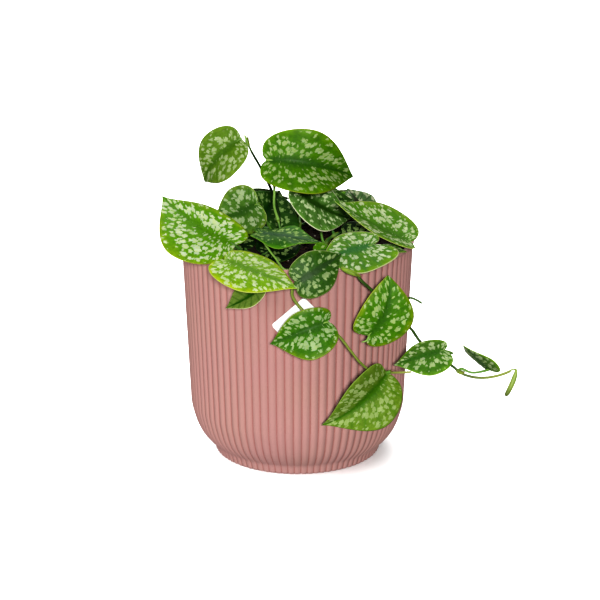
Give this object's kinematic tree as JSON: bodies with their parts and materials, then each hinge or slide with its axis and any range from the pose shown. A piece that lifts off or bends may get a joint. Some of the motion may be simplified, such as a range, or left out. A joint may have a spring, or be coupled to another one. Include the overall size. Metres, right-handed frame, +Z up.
{
  "type": "potted satin pothos",
  "caption": "Trailing satin pothos with silver-flecked heart-shaped leaves on thin vines, growing in soil in a round ribbed pot.",
  "frame": {"origin": "centre of the pot's flat base, on the surface it stands on", "axes": "+Z up along the pot's axis, -Y towards the viewer at the front, +X to the plant's right as seen from the front"},
  "size_m": [0.2793, 0.2443, 0.267],
  "materials": {
    "pot": "matte",
    "soil": "rough",
    "stem": "satin",
    "leaf_lime": "satin",
    "leaf_bright": "satin",
    "leaf_green": "satin",
    "leaf_dark": "satin",
    "leaf_young": "satin",
    "label": "satin"
  },
  "bodies": {
    "root": {"pot": "pot", "soil": "soil", "vine_right": "stem", "vine_front": "stem", "vine_top_left": "stem", "vine_centre": "stem", "vine_left": "stem", "vine_back_right": "stem", "vine_back": "stem", "leaf_top_left": "leaf_green", "leaf_top": "leaf_bright", "leaf_left_rim": "leaf_lime", "leaf_front_left": "leaf_lime", "leaf_front_left_low": "leaf_dark", "leaf_left_inner": "leaf_green", "leaf_back_dark": "leaf_dark", "leaf_centre_wavy": "leaf_dark", "leaf_centre_right": "leaf_green", "leaf_right": "leaf_green", "leaf_back_right": "leaf_dark", "leaf_far_right": "leaf_dark", "leaf_right_rim": "leaf_green", "leaf_front_centre": "leaf_dark", "leaf_hanging_front": "leaf_bright", "leaf_hanging_right": "leaf_bright", "leaf_hanging_low": "leaf_green", "leaf_trailing": "leaf_green", "leaf_trailing_folded": "leaf_dark", "leaf_inner_front": "leaf_dark", "leaf_inner_left": "leaf_dark", "leaf_inner_small": "leaf_bright", "leaf_inner_right": "leaf_dark", "leaf_right_under": "leaf_dark", "leaf_back_left": "leaf_dark", "leaf_back_rim": "leaf_green", "leaf_back_hanging": "leaf_bright", "leaf_back_low": "leaf_bright", "leaf_back_inner": "leaf_dark", "leaf_rolled": "leaf_young", "plant_label": "label"}
  },
  "joints": []
}
